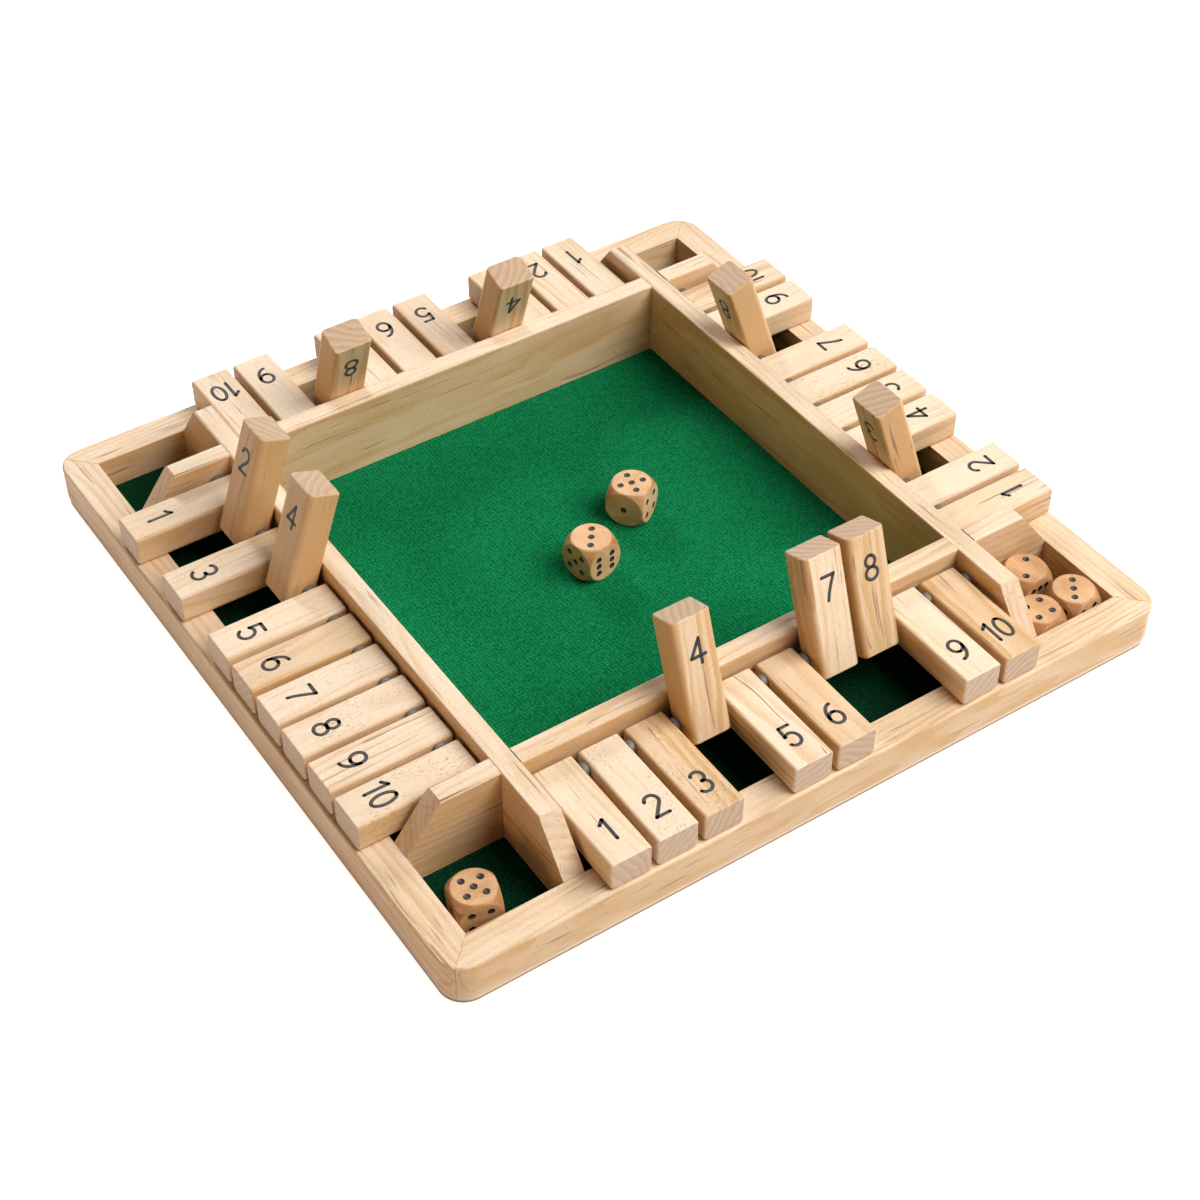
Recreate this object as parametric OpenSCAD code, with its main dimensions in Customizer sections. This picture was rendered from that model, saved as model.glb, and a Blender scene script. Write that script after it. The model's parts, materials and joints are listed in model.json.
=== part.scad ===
// A four-sided number-tile dice game: a square board with a felted tray in the middle, a row of ten
// flip tiles on a pivot rod along each side, a dice pocket in each corner and six dice.
// Millimetres, +Z up, origin at the middle of the underside. The front row faces -Y.

/* [Board] */
// Width of the rails that frame the board, seen from above
rail_w = 13.1; // [10:0.1:18]
// Height of the rails above the bottom panel
rail_h = 15; // [13:0.5:20]
// Thickness of the bottom panel
base_t = 3; // [2:0.5:6]
// How far the bottom panel's edge stands back from the rails
base_inset = 0.4; // [0:0.1:2]
// Thickness of the felt
felt_t = 1.5; // [0.5:0.1:2.5]
// Gap between the felt's edge and the rails
felt_gap = 0.3; // [0:0.1:1]
// Radius of the board's four corners, seen from above
corner_r = 10; // [4:0.5:12]
// Rounding of the rails' top outer edge
rail_edge_r = 1; // [0.5:0.25:3.5]

/* [Tray walls] */
// Thickness of the tray walls
wall_t = 8.25; // [6:0.25:9]
// Height of the tray walls above the rails
wall_rise = 18.8; // [17:0.2:22]
// Rounding of the walls' top edges
wall_edge_r = 1; // [0.25:0.25:2]
// Length of the slope at each end of a wall
slope_run = 14.2; // [8:0.2:20]
// Width left over in a corner pocket beside two dice in a row
pocket_spare = 5.17; // [2:0.01:9]

/* [Tiles] */
// Number of tiles in a row
tile_count = 10; // [8:1:12]
// Width of a tile
tile_w = 16.2; // [14:0.1:19]
// Space between two tiles, and between the end tiles of a row and the walls
tile_gap = 2.36; // [1.6:0.02:3.6]
// Thickness of a tile
tile_t = 12.5; // [11:0.25:14]
// Length of a tile
tile_len = 47.8; // [42:0.2:52]
// Rounding of a tile's long edges on its upper face
tile_top_r = 1.3; // [0.4:0.1:2]
// Rounding of a tile's long edges on its under face
tile_under_r = 2.2; // [0.4:0.1:3]
// Width of the small bevel round a tile's two ends
tile_end_cut = 0.7; // [0.3:0.1:1.5]

/* [Pivots] */
// Diameter of the rod that a row of tiles turns on
rod_d = 2; // [1.5:0.1:2.6]
// Distance from the tray wall to the rod's middle
rod_out = 6.9; // [6.5:0.1:8]
// Depth of the rod's middle below a tile's upper face
rod_deep = 3.4; // [2.8:0.1:3.8]
// Distance from the rod's middle to the tile's near end
tile_tail = 5.7; // [4.5:0.1:5.8]
// How deep the rod's ends are let into the walls
rod_seat = 6; // [3:0.5:6]
// Gap all round the rod in a tile's hole
bore_gap = 0.05; // [0.02:0.01:0.1]
// Gap all round the rod in its seats and in the spacers
seat_gap = 0.02; // [0.01:0.01:0.05]
// Outside diameter of the spacer washers
spacer_d = 5.6; // [4:0.2:6.6]
// Gap between a spacer's faces and the tiles beside it
spacer_gap = 0.2; // [0.1:0.05:0.4]
// Gap between a standing tile and the wall edge it leans to
lean_gap = 0.2; // [0.1:0.05:0.4]

/* [Dice] */
// Size of a die across its flat faces
die_size = 16; // [12:0.5:16.5]
// Radius of the ball that rounds a die's corners, as a share of its size
die_round = 0.695; // [0.66:0.005:0.8]
// Diameter of a pip
pip_d = 2.6; // [1.8:0.1:3]
// Distance between the corner pips of a face
pip_pitch = 6.6; // [5:0.1:7.5]
// Depth of a pip
pip_depth = 0.5; // [0.2:0.1:0.8]

/* [Hidden] */
$fn = 64;
tray_in = tile_count * tile_w + (tile_count + 1) * tile_gap;
pocket_in = 2 * die_size + pocket_spare;
wall_in = tray_in / 2;
wall_mid = wall_in + wall_t / 2;
wall_out = wall_in + wall_t;
rail_in = wall_out + pocket_in;
half = rail_in + rail_w;
felt_top = base_t + felt_t;
rail_top = base_t + rail_h;
wall_top = rail_top + wall_rise;
lap_z = (felt_top + wall_top) / 2;
rod_y = wall_out + rod_out;
rod_z = rail_top + tile_t - rod_deep;
rod_len = tray_in + 2 * rod_seat;
seat_r = rod_d / 2 + seat_gap;
tile_pitch = tile_w + tile_gap;
spacer_t = tile_gap - 2 * spacer_gap;

// The angle past upright at which a tile's upper face meets the rounded edge of the wall
edge_y = rod_out + wall_edge_r;
edge_z = wall_top - wall_edge_r - rod_z;
lean = atan2(edge_y, edge_z) - asin((rod_deep + wall_edge_r + lean_gap) / norm([edge_y, edge_z]));
up_angle = 90 + lean;

// Rows go round the board from the front; the numbers run from left to right for the player there
SIDES = ["front", "right", "back", "left"];
// Tiles that stand up, row by row
STANDING = [[4, 7, 8], [3, 8], [4, 8], [2, 4]];

// Pips on the faces +X, -X, +Y, -Y, +Z and -Z of a die that lies with three up
DIE_FACES = [2, 5, 1, 6, 3, 4];
// Where each die lies, in die sizes from the middle of the tray or of a pocket
TRAY = [0, 0];
pocket_mid = (wall_out + rail_in) / 2;
NEAR_POCKET = [-pocket_mid, -pocket_mid];
RIGHT_POCKET = [pocket_mid, -pocket_mid];
DICE_MIDDLES = [
    TRAY + die_size * [-0.219, -0.437],
    TRAY + die_size * [1.687, 0.656],
    NEAR_POCKET + die_size * [-0.469, -0.344],
    RIGHT_POCKET + die_size * [0.037, 0.587],
    RIGHT_POCKET + die_size * [0.475, -0.556],
    RIGHT_POCKET + die_size * [-0.631, -0.619],
];
// How each die is tilted about X, tilted about Y and turned about Z
DICE_TURNS = [[0, 0, 9], [0, 90, 123], [0, 90, 76], [0, -90, 4], [0, 0, 8], [180, 0, 2]];

function is_standing(side, number) = len(search(number, STANDING[side])) > 0;
function tile_name(side, number) = str("tile_", SIDES[side], "_", number);
function die_name(i) = str("die_", i + 1);
function tile_x(number) = -wall_in + tile_gap + tile_w / 2 + (number - 1) * tile_pitch;

wood = "#e8c88f";
wood_light = "#efd6a8";
wood_side = "#dcb67c";

// A rectangle from corner to corner with each of its four corners rounded to its own radius,
// in the order low left, low right, high right, high left
module rounded_rect(low, high, r) {
    corners = [low, [high.x, low.y], high, [low.x, high.y]];
    inward = [[1, 1], [-1, 1], [-1, -1], [1, -1]];
    difference() {
        polygon(corners);
        for (i = [0:3])
            difference() {
                centre = corners[i] + r[i] * inward[i];
                translate(corners[i] + r[i] / 2 * inward[i] - [0.01, 0.01] / 2)
                    square(r[i] + 0.01, center = true);
                translate(centre) circle(r[i]);
            }
    }
}

// A rectangle from corner to corner with all four corners cut off
module cut_rect(low, high, cut) {
    polygon([
        [low.x + cut, low.y], [high.x - cut, low.y], [high.x, low.y + cut], [high.x, high.y - cut],
        [high.x - cut, high.y], [low.x + cut, high.y], [low.x, high.y - cut], [low.x, low.y + cut],
    ]);
}

module board_outline(inset = 0) {
    r = corner_r - inset;
    flat = 2 * (half - corner_r);
    across = 2 * (half - inset);
    square([flat, across], center = true);
    square([across, flat], center = true);
    for (x = [-1, 1], y = [-1, 1])
        translate([x, y] * (half - corner_r)) circle(r);
}

module base_panel() {
    color(wood_side)
        linear_extrude(base_t) board_outline(base_inset);
}

module felt_lining() {
    color("#15783f")
        translate([0, 0, base_t + felt_t / 2])
            cube([2 * (rail_in - felt_gap), 2 * (rail_in - felt_gap), felt_t], center = true);
}

// Cross-section of a rail, its outer face at the given distance from the axis it is laid out on
module rail_section(inner, outer) {
    difference() {
        translate([inner, 0]) square([outer - inner, rail_h]);
        translate([outer - rail_edge_r, rail_h - rail_edge_r])
            difference() {
                square(rail_edge_r + 0.01);
                circle(rail_edge_r);
            }
    }
}

// The front rail: a straight bar with a turned corner at each end, cut off at the mitres
module front_rail() {
    bar = 2 * (half - corner_r);
    intersection() {
        union() {
            translate([-bar / 2, 0, 0])
                rotate([90, 0, 90])
                    linear_extrude(bar) mirror([1, 0]) rail_section(rail_in, half);
            for (side = [-1, 1])
                translate([side * bar / 2, -bar / 2, 0])
                    rotate_extrude() rail_section(0, corner_r);
        }
        translate([0, 0, -1])
            linear_extrude(rail_h + 2)
                polygon([[-rail_in / 2, -rail_in / 2], [-2 * half, -2 * half],
                         [2 * half, -2 * half], [rail_in / 2, -rail_in / 2]]);
        translate([-half, -half, 0]) cube([2 * half, rail_w, rail_h]);
    }
}

module rail(side) {
    color(side % 2 == 0 ? wood : wood_light)
        rotate([0, 0, 90 * side]) translate([0, 0, base_t]) front_rail();
}

// Cross-section of a tray wall: both top edges are rounded
module wall_section(low, high) {
    rounded_rect([-wall_t / 2, low], [wall_t / 2, high], [0, 0, wall_edge_r, wall_edge_r]);
}

// A wall along X: a bar with rounded top edges, cut to an outline that slopes down at both ends
module wall_blank() {
    level = rail_in - slope_run;
    intersection() {
        translate([-rail_in, 0, 0])
            rotate([90, 0, 90]) linear_extrude(2 * rail_in) wall_section(felt_top, wall_top);
        rotate([90, 0, 0])
            linear_extrude(2 * wall_t, center = true)
                polygon([[-rail_in - 1, 0], [rail_in + 1, 0], [rail_in + 1, rail_top],
                         [rail_in, rail_top], [level, wall_top], [level, wall_top + 1],
                         [-level, wall_top + 1], [-level, wall_top], [-rail_in, rail_top],
                         [-rail_in - 1, rail_top]]);
    }
}

// Front and back walls are notched from above at both crossings, left and right ones from below,
// and the side walls hold the ends of the front and back rods and the other way round
module wall(side) {
    is_cross = side % 2 == 0;
    seat_from = wall_t / 2 - rod_seat;
    color(is_cross ? wood : wood_light)
        rotate([0, 0, 90 * side])
            translate([0, -wall_mid, 0])
                difference() {
                    wall_blank();
                    for (x = [-wall_mid, wall_mid])
                        translate([x - wall_t / 2, -wall_t, is_cross ? lap_z : felt_top - 1])
                            cube([wall_t, 2 * wall_t, is_cross ? wall_rise * 4 : lap_z - felt_top + 1]);
                    for (x = [-rod_y, rod_y])
                        translate([x, wall_t / 2 - rod_seat, rod_z])
                            rotate([-90, 0, 0]) cylinder(h = rod_seat + 1, r = seat_r);
                }
}

// The rods of the four rows, one solid each
module pivot_rods() {
    color("#b9bcc0")
        for (side = [0:3])
            rotate([0, 0, 90 * side])
                translate([-rod_len / 2, -rod_y, rod_z])
                    rotate([0, 90, 0]) cylinder(h = rod_len, d = rod_d);
}

// Washers on the rods, between the tiles and between the end tiles and the walls
module spacer_washers() {
    color("#d9dbde")
        for (side = [0:3])
            rotate([0, 0, 90 * side])
                for (i = [0:tile_count])
                    translate([-wall_in + spacer_gap + i * tile_pitch, -rod_y, rod_z])
                        rotate([0, 90, 0])
                            difference() {
                                cylinder(h = spacer_t, d = spacer_d);
                                translate([0, 0, -1]) cylinder(h = spacer_t + 2, r = seat_r);
                            }
}

// A tile lying flat, its rod along X through the origin and its free end towards -Y
module tile_block() {
    head = tile_len - tile_tail;
    low_z = rod_deep - tile_t;
    difference() {
        intersection() {
            translate([0, tile_tail, 0])
                rotate([90, 0, 0])
                    linear_extrude(tile_len)
                        rounded_rect([-tile_w / 2, low_z], [tile_w / 2, rod_deep],
                                     [tile_under_r, tile_under_r, tile_top_r, tile_top_r]);
            translate([-tile_w / 2, 0, 0])
                rotate([90, 0, 90])
                    linear_extrude(tile_w)
                        cut_rect([-head, low_z], [tile_tail, rod_deep], tile_end_cut);
            translate([0, 0, low_z])
                linear_extrude(tile_t)
                    cut_rect([-tile_w / 2, -head], [tile_w / 2, tile_tail], tile_end_cut);
        }
        translate([-tile_w / 2 - 1, 0, 0])
            rotate([0, 90, 0]) cylinder(h = tile_w + 2, r = rod_d / 2 + bore_gap);
    }
}

module tile(side, number) {
    tone = (number * 7 + side * 3) % 3;
    color([wood_light, wood, wood_side][tone])
        rotate([0, 0, 90 * side])
            translate([tile_x(number), -rod_y, rod_z])
                rotate([is_standing(side, number) ? -up_angle : 0, 0, 0]) tile_block();
}

// Places of the pips on a face, in steps of half the pip pitch
function pip_places(n) = concat(
    n % 2 == 1 ? [[0, 0]] : [],
    n > 1 ? [[1, 1], [-1, -1]] : [],
    n > 3 ? [[1, -1], [-1, 1]] : [],
    n == 6 ? [[1, 0], [-1, 0]] : []
);

module die_block() {
    face_turns = [[0, 90, 0], [0, -90, 0], [-90, 0, 0], [90, 0, 0], [0, 0, 0], [180, 0, 0]];
    difference() {
        intersection() {
            cube(die_size, center = true);
            sphere(die_round * die_size);
        }
        for (face = [0:5])
            rotate(face_turns[face])
                for (p = pip_places(DIE_FACES[face]))
                    translate([p.x * pip_pitch / 2, p.y * pip_pitch / 2, die_size / 2 - pip_depth])
                        cylinder(h = 1, d = pip_d);
    }
}

module die(i) {
    turn = DICE_TURNS[i];
    color("#c99a68")
        translate([DICE_MIDDLES[i].x, DICE_MIDDLES[i].y, felt_top + die_size / 2])
            rotate([0, 0, turn.z]) rotate([turn.x, turn.y, 0]) die_block();
}

base_panel();
felt_lining();
pivot_rods();
spacer_washers();
for (side = [0:3]) rail(side);
for (side = [0:3]) wall(side);
for (side = [0:3], number = [1:tile_count])
    tile(side, number);
for (i = [0:len(DICE_TURNS) - 1]) die(i);
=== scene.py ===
import json
import math
import random

import bmesh
import bpy
import numpy as np
from bpy.props import FloatProperty, FloatVectorProperty, IntProperty, PointerProperty
from mathutils import Matrix, Vector


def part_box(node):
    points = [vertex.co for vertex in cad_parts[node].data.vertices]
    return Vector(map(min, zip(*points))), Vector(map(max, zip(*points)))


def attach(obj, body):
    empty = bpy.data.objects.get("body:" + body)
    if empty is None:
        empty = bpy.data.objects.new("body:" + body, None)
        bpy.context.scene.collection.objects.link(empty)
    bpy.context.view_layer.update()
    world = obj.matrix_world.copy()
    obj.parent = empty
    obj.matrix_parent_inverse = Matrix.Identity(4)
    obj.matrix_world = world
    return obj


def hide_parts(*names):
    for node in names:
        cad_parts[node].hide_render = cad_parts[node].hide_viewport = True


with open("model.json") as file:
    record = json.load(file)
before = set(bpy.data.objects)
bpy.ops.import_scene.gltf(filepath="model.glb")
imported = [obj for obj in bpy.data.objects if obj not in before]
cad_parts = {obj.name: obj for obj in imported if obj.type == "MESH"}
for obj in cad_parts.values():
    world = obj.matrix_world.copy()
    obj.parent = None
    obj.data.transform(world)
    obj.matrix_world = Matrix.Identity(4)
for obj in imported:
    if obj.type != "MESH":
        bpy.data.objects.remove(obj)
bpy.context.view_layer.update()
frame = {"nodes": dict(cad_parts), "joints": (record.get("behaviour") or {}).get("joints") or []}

bl_info = {
    "name": "Flip Tile Board",
    "version": (1, 0, 0),
    "blender": (4, 5, 0),
    "location": "View3D > Sidebar > Flip Tiles",
    "description": "Dresses the solids of a four-sided number-tile dice game",
    "category": "Object",
}

MM = 0.001
SIDES = ("front", "right", "back", "left")
TILES_IN_ROW = 10
JOINTS = {joint["child"]: joint for joint in frame["joints"]}

# Faces +X, -X, +Y, -Y, +Z and -Z of a die that lies with three up, and how each die lies:
# its tilt about X, its tilt about Y and its turn about Z, in degrees
DIE_FACES = (2, 5, 1, 6, 3, 4)
DICE_TURNS = ((0, 0, 9), (0, 90, 123), (0, 90, 76), (0, -90, 4), (0, 0, 8), (180, 0, 2))

# Sizes in millimetres that the tiles, rods and dice share with the solids
TILE_LOW, TILE_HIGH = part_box("tile_front_1")
TILE_WIDTH = (TILE_HIGH[0] - TILE_LOW[0]) / MM
TILE_LENGTH = (TILE_HIGH[1] - TILE_LOW[1]) / MM
ROD_BELOW_TOP = 3.4
TILE_UNDER = ROD_BELOW_TOP - (TILE_HIGH[2] - TILE_LOW[2]) / MM
TILE_TAIL = 5.7
NUMBER_FROM_END = 13.6
INK_FILM = 0.06
BORE_RADIUS = 1.05
DIE_SIZE = 16.0
DIE_BALL = 11.12

# Tiles cut from golden wood, from pale wood, and from wood with many flecks
GOLDEN = {"front": (3, 4, 6, 8, 10), "right": (3, 8), "back": (4, 8), "left": (2, 4, 6)}
PALE = {"front": (2, 5, 9), "right": (2, 4, 9), "back": (6, 9), "left": (5, 7, 9)}
FLECKED = {"front": (2, 3), "right": (6,), "back": (), "left": (8, 10)}

MATERIALS = {}

# Name, place and width in metres, power in watts and colour of each lamp
LAMPS = (
    ("Key", (0.80, -0.80, 1.36), 1.5, 43.5, (1.0, 0.995, 0.985)),
    ("Back light", (0.10, 1.50, 1.00), 0.5, 13.5, (1.0, 0.995, 0.985)),
    ("Low fill", (-1.7, -0.4, 0.26), 0.5, 5.5, (1.0, 0.60, 0.28)),
)
FLOOR_HALF = 8.0
FLOOR_GLOW = 0.90
ROOM_TINT, ROOM_LIGHT = (1.0, 0.88, 0.74), 0.03

# Angles from nought to a right angle, for the rounded edges of a tile
QUARTER = [math.radians(15 * step) for step in range(7)]
# The bends between faces that stay sharp, and those that get an eased edge
CREASE, DIE_CREASE, FELT_CREASE, WASHER_CREASE, EASED_BEND = (
    math.radians(bend) for bend in (36, 34, 50, 30, 30))


# ---------------------------------------------------------------- sizes and colours

def millimetres(name, description, default, low, high):
    """A length whose default and limits are given in millimetres."""
    return FloatProperty(name=name, description=description, default=default * MM, min=low * MM,
                         max=high * MM, unit="LENGTH")


def degrees(name, description, default):
    return FloatProperty(name=name, description=description, default=math.radians(default),
                         subtype="ANGLE")


def tint(name, description, default):
    return FloatVectorProperty(name=name, description=description, default=default,
                               subtype="COLOR", size=3, min=0, max=1)


class WoodLook(bpy.types.PropertyGroup):
    """Colours and grain of the board's wood."""
    pale: tint("Pale wood", "Colour of the wood between its rings", (0.865, 0.69, 0.51))
    gold: tint("Golden wood", "Colour of the darker part of a ring", (0.63, 0.385, 0.175))
    line: tint("Grain line", "Colour of the thin dark grain lines", (0.33, 0.19, 0.10))
    end: tint("End grain", "Colour that the cut ends are toned to", (0.47, 0.30, 0.205))
    edge: millimetres("Eased edge", "Width of the small rounding on cut edges", 0.35, 0.05, 1)


class TileLook(bpy.types.PropertyGroup):
    """Shape of a flip tile and of its printed number."""
    top_round: millimetres("Upper rounding", "Radius of the long upper edges", 1.3, 0.3, 2)
    under_round: millimetres("Under rounding", "Radius of the long under edges", 2.2, 0.3, 3)
    end_round: millimetres("End rounding", "Radius round the two ends", 0.75, 0.2, 1.1)
    number_height: millimetres("Number height", "Height of a printed number", 9.4, 5, 12)
    stroke: millimetres("Stroke width", "Width of a number's strokes", 1.35, 0.5, 2)
    ink: tint("Ink", "Colour of the printed numbers", (0.030, 0.029, 0.029))


class DiceLook(bpy.types.PropertyGroup):
    """Look of the dice."""
    pip_width: millimetres("Pip width", "Width of a pip across its rim", 2.65, 1.5, 3)
    pip_depth: millimetres("Pip depth", "Depth of a pip", 0.6, 0.2, 1)
    pip_pitch: millimetres("Pip pitch", "Distance between a face's corner pips", 6.6, 5, 8)
    face: tint("Face", "Colour of the flat faces", (0.76, 0.475, 0.245))
    rounded: tint("Rounded part", "Colour of the rounded edges", (0.42, 0.18, 0.06))


class FeltLook(bpy.types.PropertyGroup):
    """Look of the felt lining."""
    colour: tint("Felt", "Colour of the felt", (0.006, 0.225, 0.080))
    deep: tint("Felt, deep", "Colour between the felt's fibres", (0.002, 0.10, 0.030))
    # The felt outside the tray, in the pockets and under the tiles, gets a much darker colour:
    # painted shade
    painted_shade: tint("Felt, painted shade", "Colour of the painted shade on the felt outside the tray",
                  (0.003, 0.045, 0.018))
    step: millimetres("Surface step", "Spacing of the felt surface's points", 1.3, 1, 10)
    nap: millimetres("Nap", "Depth of the felt's uneven surface", 0.12, 0, 0.4)


class PivotLook(bpy.types.PropertyGroup):
    """Sizes of the spacer washers on the rods."""
    count: IntProperty(name="Washers", description="Number of washers on a rod", default=11, min=2)
    pitch: millimetres("Pitch", "Distance between washers", 18.56, 5, 50)
    thickness: millimetres("Thickness", "Thickness of a washer", 1.96, 0.5, 10)
    width: millimetres("Width", "Outside diameter of a washer", 5.6, 3, 20)
    bore: millimetres("Bore", "Diameter of a washer's hole", 2.04, 1, 10)


class StageLook(bpy.types.PropertyGroup):
    """Camera and light."""
    azimuth: degrees("Azimuth", "Direction of view about the vertical", -33.63)
    elevation: degrees("Elevation", "Height of the view above the horizon", 43.653)
    roll: degrees("Roll", "Turn of the view about its own axis", -0.177)
    distance: millimetres("Distance", "Distance from camera to target", 844.6, 100, 5000)
    target: FloatVectorProperty(name="Target", description="Point at the middle of the picture",
                                default=(-7.9 * MM, -19.5 * MM, -0.25 * MM), subtype="XYZ",
                                unit="LENGTH")
    lens: FloatProperty(name="Lens", description="Focal length on a 36 mm sensor, in millimetres",
                        default=66.64, min=10)


# ---------------------------------------------------------------- helpers for nodes and meshes

def add_node(tree, kind, inputs=None, **settings):
    """Adds a node, sets it up and gives its inputs a value or a link."""
    made = tree.nodes.new(kind)
    for key, value in settings.items():
        setattr(made, key, value)
    for key, value in (inputs or {}).items():
        socket = made.inputs[key]
        if isinstance(value, bpy.types.NodeSocket):
            tree.links.new(value, socket)
        else:
            socket.default_value = value
    return made


def maths(tree, operation, *values, clamp=False):
    return add_node(tree, "ShaderNodeMath", dict(enumerate(values)), operation=operation,
                    use_clamp=clamp).outputs[0]


def total(tree, *values, clamp=False):
    """The sum of the values, held between nought and one where clamp says so."""
    value, *others = values
    for other in others[:-1]:
        value = maths(tree, "ADD", value, other)
    return maths(tree, "ADD", value, others[-1], clamp=clamp)


def product(tree, *values):
    value, *others = values
    for other in others:
        value = maths(tree, "MULTIPLY", value, other)
    return value


def vector_maths(tree, operation, *values):
    made = add_node(tree, "ShaderNodeVectorMath", dict(enumerate(values)), operation=operation)
    return made.outputs["Value" if operation == "LENGTH" else "Vector"]


def split(tree, vector):
    return add_node(tree, "ShaderNodeSeparateXYZ", {0: vector}).outputs


def remap(tree, value, low, high, to_low=0.0, to_high=1.0):
    """Leads smoothly from to_low to to_high as the value goes from low to high."""
    inputs = {"Value": value, "From Min": low, "From Max": high,
              "To Min": to_low, "To Max": to_high}
    return add_node(tree, "ShaderNodeMapRange", inputs, interpolation_type="SMOOTHSTEP").outputs[0]


def noise(tree, place, stretch, detail=2.0, rough=0.5, output="Fac"):
    """Noise with about stretch grains per millimetre along each axis."""
    at = vector_maths(tree, "MULTIPLY", place, stretch)
    inputs = {"Vector": at, "Scale": 1.0, "Detail": detail, "Roughness": rough}
    return add_node(tree, "ShaderNodeTexNoise", inputs).outputs[output]


def mix_colour(tree, factor, first, second):
    made = add_node(tree, "ShaderNodeMix", data_type="RGBA", clamp_factor=True)
    for index, value in ((0, factor), (6, first), (7, second)):
        socket = made.inputs[index]
        if isinstance(value, bpy.types.NodeSocket):
            tree.links.new(value, socket)
        elif socket.type == "RGBA":
            socket.default_value = (*value[:3], 1)
        else:
            socket.default_value = value
    return made.outputs[2]


def attribute(tree, name, output="Vector"):
    return add_node(tree, "ShaderNodeAttribute", attribute_name=name).outputs[output]


def in_millimetres(tree, place):
    return vector_maths(tree, "MULTIPLY", place, (1 / MM, 1 / MM, 1 / MM))


def board_place(tree):
    """Where a point lies on the board, in millimetres."""
    return in_millimetres(tree, add_node(tree, "ShaderNodeTexCoord").outputs["Object"])


def timber_place(tree):
    """Where a point lies in its own piece of timber, in millimetres."""
    return in_millimetres(tree, attribute(tree, "timber"))


def timber_look(tree):
    """Tone, flecks and figure of a piece of timber."""
    return split(tree, attribute(tree, "timber_look"))


def new_material(name, **principled):
    """A material whose Principled BSDF has these constants on its own sockets."""
    material = bpy.data.materials.new(name)
    material.use_nodes = True
    tree = material.node_tree
    shader = tree.nodes["Principled BSDF"]
    for key, value in principled.items():
        socket = shader.inputs[key.replace("_", " ")]
        socket.default_value = (*value, 1) if socket.type == "RGBA" else value
    MATERIALS[name] = material
    return material, tree, shader


def bump(tree, shader, height, distance, strength=1.0):
    made = add_node(tree, "ShaderNodeBump",
                    {"Height": height, "Distance": distance, "Strength": strength})
    tree.links.new(made.outputs["Normal"], shader.inputs["Normal"])


def link_object(name, mesh):
    made = bpy.data.objects.new(name, mesh)
    bpy.context.scene.collection.objects.link(made)
    return made


def discard(made):
    bpy.data.objects.remove(made, do_unlink=True)


def baked(source, name):
    """Turns what an object's modifiers make into a plain mesh, and removes the object."""
    graph = bpy.context.evaluated_depsgraph_get()
    graph.update()
    mesh = bpy.data.meshes.new_from_object(source.evaluated_get(graph), depsgraph=graph,
                                           preserve_all_data_layers=True)
    mesh.name = name
    discard(source)
    return mesh


def shade(mesh, crease):
    """Smooths the mesh's shading, but keeps edges that bend more than crease sharp."""
    mesh.shade_smooth()
    mesh.set_sharp_from_angle(angle=crease)


def finished(mesh):
    """The mesh with smooth curves, crisp edges and flat faces that shade flat."""
    shade(mesh, CREASE)
    holder = link_object(mesh.name + "_work", mesh)
    modifier = holder.modifiers.new("Face weights", "WEIGHTED_NORMAL")
    modifier.keep_sharp = True
    return baked(holder, mesh.name)


def mesh_from(builder, name):
    mesh = bpy.data.meshes.new(name)
    builder.to_mesh(mesh)
    builder.free()
    return mesh


def set_vectors(mesh, name, vectors):
    layer = mesh.attributes.get(name) or mesh.attributes.new(name, "FLOAT_VECTOR", "POINT")
    layer.data.foreach_set("vector", np.asarray(vectors, dtype=np.float32).ravel())


def set_grain(mesh, to_grain, draw, tone=0.0, flecks=0.0, figure=1.0):
    """Stores where each point lies in its own piece of timber, and how much of each face is side or
    end grain. The grain runs along Y of the place that to_grain leads to, and X is the side."""
    count = len(mesh.vertices)
    points = np.empty(count * 3, dtype=np.float32)
    mesh.vertices.foreach_get("co", points)
    points = points.reshape(count, 3)
    matrix = np.array(to_grain)
    points = points @ matrix[:3, :3].T + matrix[:3, 3]
    shift = np.array([draw.uniform(-0.4, 0.4), draw.uniform(-1, 1), draw.uniform(-0.4, 0.4)])
    set_vectors(mesh, "timber", points + shift)
    set_vectors(mesh, "timber_look", np.tile([tone, flecks, figure], (count, 1)))
    normals = np.empty(len(mesh.polygons) * 3, dtype=np.float32)
    mesh.polygons.foreach_get("normal", normals)
    facing = np.abs(normals.reshape(-1, 3) @ matrix[:3, :3].T).astype(np.float32)
    for name, axis in (("side_grain", 0), ("end_grain", 1)):
        layer = mesh.attributes.get(name) or mesh.attributes.new(name, "FLOAT", "FACE")
        layer.data.foreach_set("value", np.ascontiguousarray(facing[:, axis]))


def eased_solid(node, name, ease, shortest):
    """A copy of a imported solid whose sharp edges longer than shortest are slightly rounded."""
    builder = bmesh.new()
    builder.from_mesh(frame["nodes"][node].data)
    bmesh.ops.remove_doubles(builder, verts=builder.verts, dist=0.001 * MM)
    bmesh.ops.dissolve_limit(builder, angle_limit=math.radians(0.3), verts=builder.verts,
                             edges=builder.edges)
    edges = [edge for edge in builder.edges
             if edge.calc_length() > shortest and edge.is_manifold
             and edge.calc_face_angle() > EASED_BEND]
    bmesh.ops.bevel(builder, geom=edges, offset=ease, segments=3, profile=0.5,
                    affect="EDGES", clamp_overlap=True)
    return finished(mesh_from(builder, name))


def piece(name, mesh, body, *nodes, slot=None, material=None):
    """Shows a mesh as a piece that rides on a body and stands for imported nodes."""
    made = link_object(name, mesh)
    if material:
        mesh.materials.clear()
        mesh.materials.append(MATERIALS[material])
    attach(made, body)
    if nodes:
        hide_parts(*nodes)
    return made


def turn(degrees, axis):
    return Matrix.Rotation(math.radians(degrees), 4, axis)


def side_turn(side):
    return turn(90 * side, "Z")


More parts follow.
